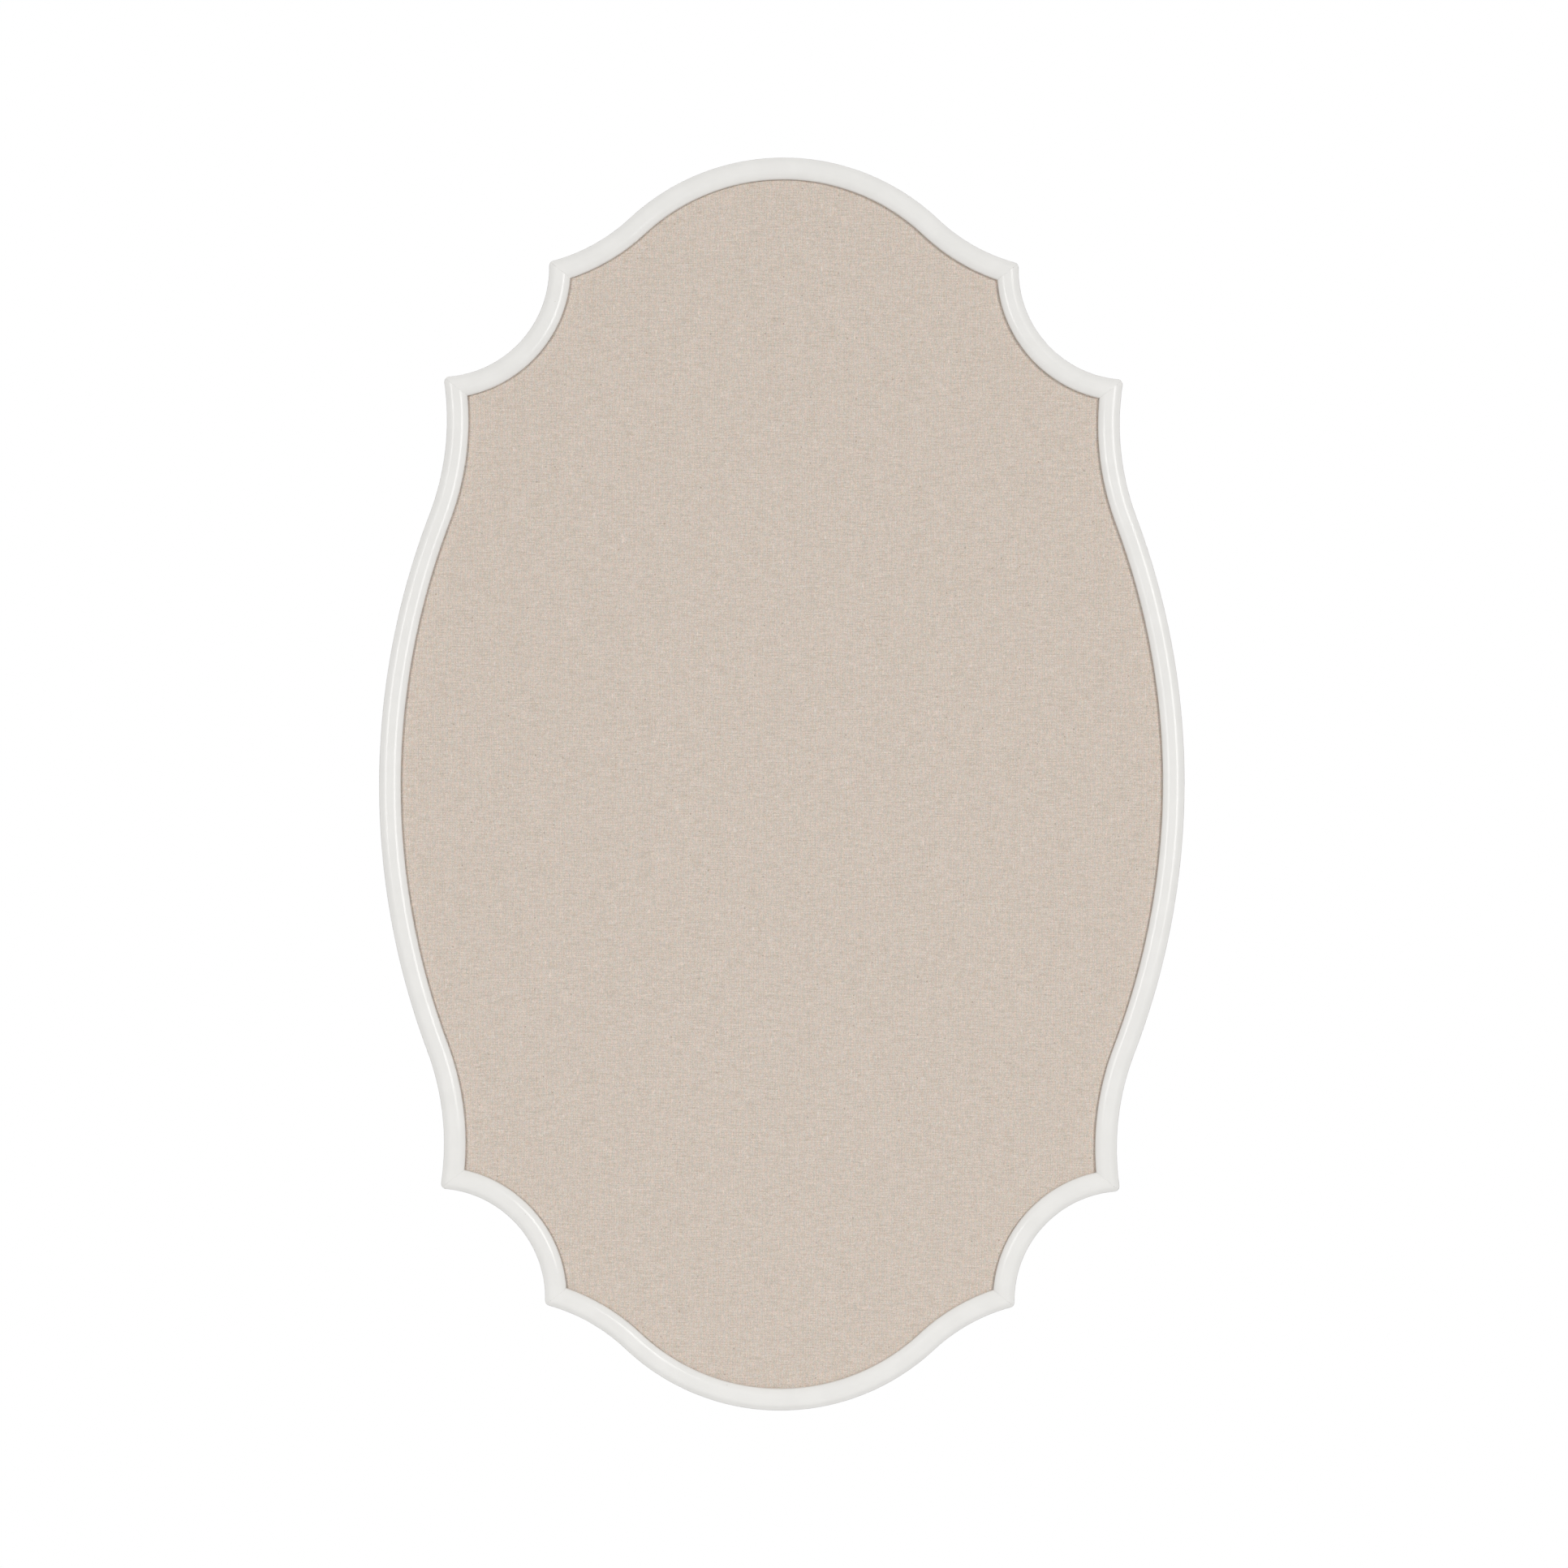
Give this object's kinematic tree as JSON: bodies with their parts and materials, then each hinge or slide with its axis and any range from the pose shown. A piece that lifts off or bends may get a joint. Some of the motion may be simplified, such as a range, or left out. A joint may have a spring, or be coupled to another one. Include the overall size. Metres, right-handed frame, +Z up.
{
  "type": "pin board",
  "caption": "Upright wall pin board with a scalloped outline: a glossy white moulding round a flat linen-covered panel held by turn buttons, with D-ring hangers.",
  "frame": {"origin": "centre of the backing board's rear face, level with the back of the frame", "axes": "+Z up as the board hangs, -Y out of the linen towards the viewer, +Y towards the wall, +X to the right seen from the front"},
  "size_m": [0.5878, 0.026, 0.9144],
  "materials": {
    "frame_lacquer": "gloss",
    "linen": "matte",
    "fibreboard": "matte",
    "hardboard": "satin",
    "zinc_plate": "satin",
    "brass_screw": "satin",
    "nail_steel": "matte",
    "bumper_rubber": "matte"
  },
  "bodies": {
    "board": {"frame_crown_top": "frame_lacquer", "frame_crown_bottom": "frame_lacquer", "frame_rail_left": "frame_lacquer", "frame_rail_right": "frame_lacquer", "frame_cove_upper_right": "frame_lacquer", "frame_cove_upper_left": "frame_lacquer", "frame_cove_lower_left": "frame_lacquer", "frame_cove_lower_right": "frame_lacquer", "v_nail_corner_upper_right": "nail_steel", "v_nail_corner_upper_left": "nail_steel", "v_nail_corner_lower_left": "nail_steel", "v_nail_corner_lower_right": "nail_steel", "v_nail_crown_upper_right": "nail_steel", "v_nail_crown_upper_left": "nail_steel", "v_nail_crown_lower_left": "nail_steel", "v_nail_crown_lower_right": "nail_steel", "linen_cover": "linen", "pin_core": "fibreboard", "backing_board": "hardboard", "button_screw_crown_top": "brass_screw", "button_screw_crown_bottom": "brass_screw", "button_screw_cove_upper_right": "brass_screw", "button_screw_cove_upper_left": "brass_screw", "button_screw_cove_lower_left": "brass_screw", "button_screw_cove_lower_right": "brass_screw", "button_screw_rail_upper_right": "brass_screw", "button_screw_rail_upper_left": "brass_screw", "button_screw_rail_lower_left": "brass_screw", "button_screw_rail_lower_right": "brass_screw", "hanger_strap_left": "zinc_plate", "hanger_strap_right": "zinc_plate", "hanger_screw_left_1": "brass_screw", "hanger_screw_left_2": "brass_screw", "hanger_screw_right_1": "brass_screw", "hanger_screw_right_2": "brass_screw", "bumper_upper_right": "bumper_rubber", "bumper_upper_left": "bumper_rubber", "bumper_lower_left": "bumper_rubber", "bumper_lower_right": "bumper_rubber"},
    "turn_button_crown_top": {"turn_button_crown_top": "zinc_plate"},
    "turn_button_crown_bottom": {"turn_button_crown_bottom": "zinc_plate"},
    "turn_button_cove_upper_right": {"turn_button_cove_upper_right": "zinc_plate"},
    "turn_button_cove_upper_left": {"turn_button_cove_upper_left": "zinc_plate"},
    "turn_button_cove_lower_left": {"turn_button_cove_lower_left": "zinc_plate"},
    "turn_button_cove_lower_right": {"turn_button_cove_lower_right": "zinc_plate"},
    "turn_button_rail_upper_right": {"turn_button_rail_upper_right": "zinc_plate"},
    "turn_button_rail_upper_left": {"turn_button_rail_upper_left": "zinc_plate"},
    "turn_button_rail_lower_left": {"turn_button_rail_lower_left": "zinc_plate"},
    "turn_button_rail_lower_right": {"turn_button_rail_lower_right": "zinc_plate"},
    "hanger_ring_left": {"hanger_ring_left": "zinc_plate"},
    "hanger_ring_right": {"hanger_ring_right": "zinc_plate"}
  },
  "joints": [
    {"name": "turn_button_crown_top_swing", "type": "hinge", "parent": "board", "child": "turn_button_crown_top", "pos_m": [0, 0.00105, 0.4519], "axis": [0, 1, 0], "continuous": true},
    {"name": "turn_button_crown_bottom_swing", "type": "hinge", "parent": "board", "child": "turn_button_crown_bottom", "pos_m": [0, 0.00105, -0.4519], "axis": [0, 1, 0], "continuous": true},
    {"name": "turn_button_cove_upper_right_swing", "type": "hinge", "parent": "board", "child": "turn_button_cove_upper_right", "pos_m": [0.18815, 0.00105, 0.31865], "axis": [0, 1, 0], "continuous": true},
    {"name": "turn_button_cove_upper_left_swing", "type": "hinge", "parent": "board", "child": "turn_button_cove_upper_left", "pos_m": [-0.18815, 0.00105, 0.31865], "axis": [0, 1, 0], "continuous": true},
    {"name": "turn_button_cove_lower_left_swing", "type": "hinge", "parent": "board", "child": "turn_button_cove_lower_left", "pos_m": [-0.18815, 0.00105, -0.31865], "axis": [0, 1, 0], "continuous": true},
    {"name": "turn_button_cove_lower_right_swing", "type": "hinge", "parent": "board", "child": "turn_button_cove_lower_right", "pos_m": [0.18815, 0.00105, -0.31865], "axis": [0, 1, 0], "continuous": true},
    {"name": "turn_button_rail_upper_right_swing", "type": "hinge", "parent": "board", "child": "turn_button_rail_upper_right", "pos_m": [0.28186, 0.00105, 0.0856], "axis": [0, 1, 0], "continuous": true},
    {"name": "turn_button_rail_upper_left_swing", "type": "hinge", "parent": "board", "child": "turn_button_rail_upper_left", "pos_m": [-0.28186, 0.00105, 0.0856], "axis": [0, 1, 0], "continuous": true},
    {"name": "turn_button_rail_lower_left_swing", "type": "hinge", "parent": "board", "child": "turn_button_rail_lower_left", "pos_m": [-0.28186, 0.00105, -0.0856], "axis": [0, 1, 0], "continuous": true},
    {"name": "turn_button_rail_lower_right_swing", "type": "hinge", "parent": "board", "child": "turn_button_rail_lower_right", "pos_m": [0.28186, 0.00105, -0.0856], "axis": [0, 1, 0], "continuous": true},
    {"name": "hanger_ring_left_swing", "type": "hinge", "parent": "board", "child": "hanger_ring_left", "pos_m": [-0.26625, 0.0021, 0.1505], "axis": [0.9613, 0, -0.2756], "range_deg": [0, 180]},
    {"name": "hanger_ring_right_swing", "type": "hinge", "parent": "board", "child": "hanger_ring_right", "pos_m": [0.26625, 0.0021, 0.1505], "axis": [0.9613, 0, 0.2756], "range_deg": [0, 180]}
  ]
}
